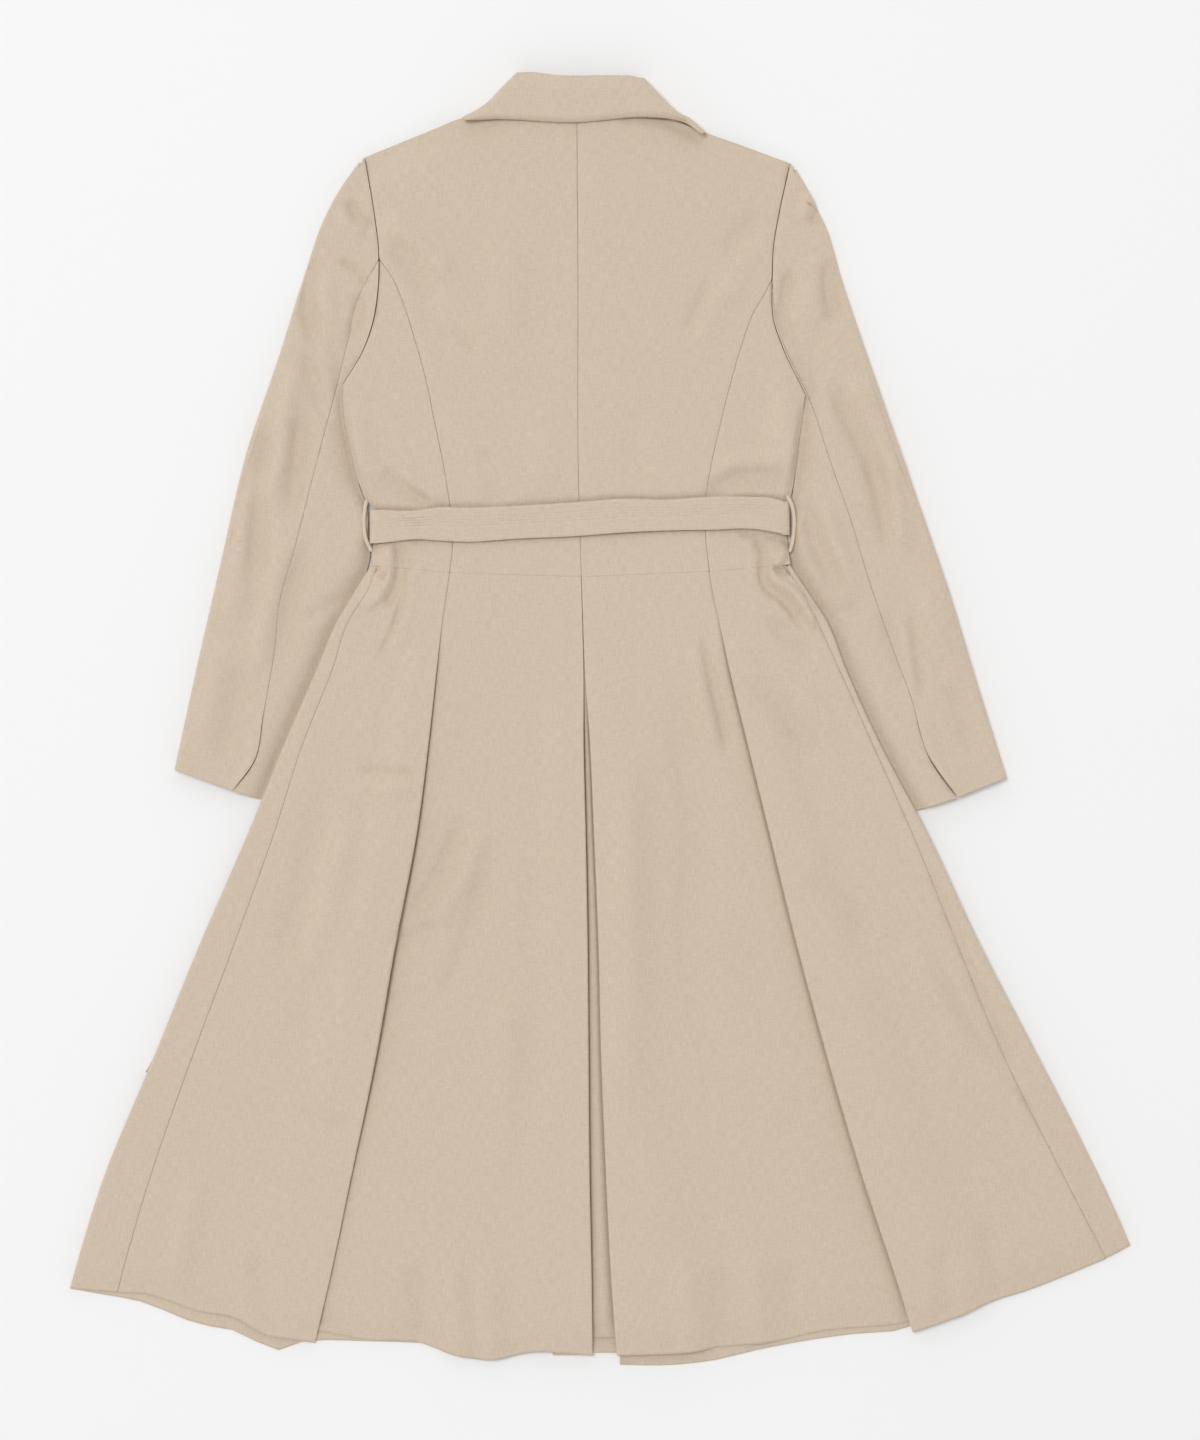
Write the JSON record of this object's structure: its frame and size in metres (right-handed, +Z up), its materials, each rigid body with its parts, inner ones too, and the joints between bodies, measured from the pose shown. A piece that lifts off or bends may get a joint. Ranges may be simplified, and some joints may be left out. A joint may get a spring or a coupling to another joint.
{
  "type": "belted flared coat",
  "caption": "Long beige coat with a turned-down collar, princess seams, tie belt and pleated flared skirt, laid flat with its back up.",
  "frame": {"origin": "middle of the coat's outline, on the surface that it lies on", "axes": "+Y towards the collar, +Z up from the surface on the side of the coat's back, +X to the wearer's right"},
  "size_m": [1.0601, 1.289, 0.0158],
  "materials": {
    "coating": "matt plain weave with a dry hand",
    "loop_cloth": "narrow turned tube of the same cloth"
  },
  "bodies": {
    "root": {"back_bodice_left": "coating", "back_bodice_right": "coating", "side_bodice_left": "coating", "side_bodice_right": "coating", "front_bodice_left": "coating", "front_bodice_right": "coating", "back_skirt_left": "coating", "back_skirt_right": "coating", "side_skirt_left": "coating", "side_skirt_right": "coating", "front_skirt_left": "coating", "front_skirt_right": "coating", "pleat_underlay": "coating", "top_sleeve_left": "coating", "top_sleeve_right": "coating", "under_sleeve_left": "coating", "under_sleeve_right": "coating", "collar_leaf": "coating", "collar_stand": "coating", "belt": "coating", "belt_loop_left": "loop_cloth", "belt_loop_right": "loop_cloth"}
  },
  "joints": []
}
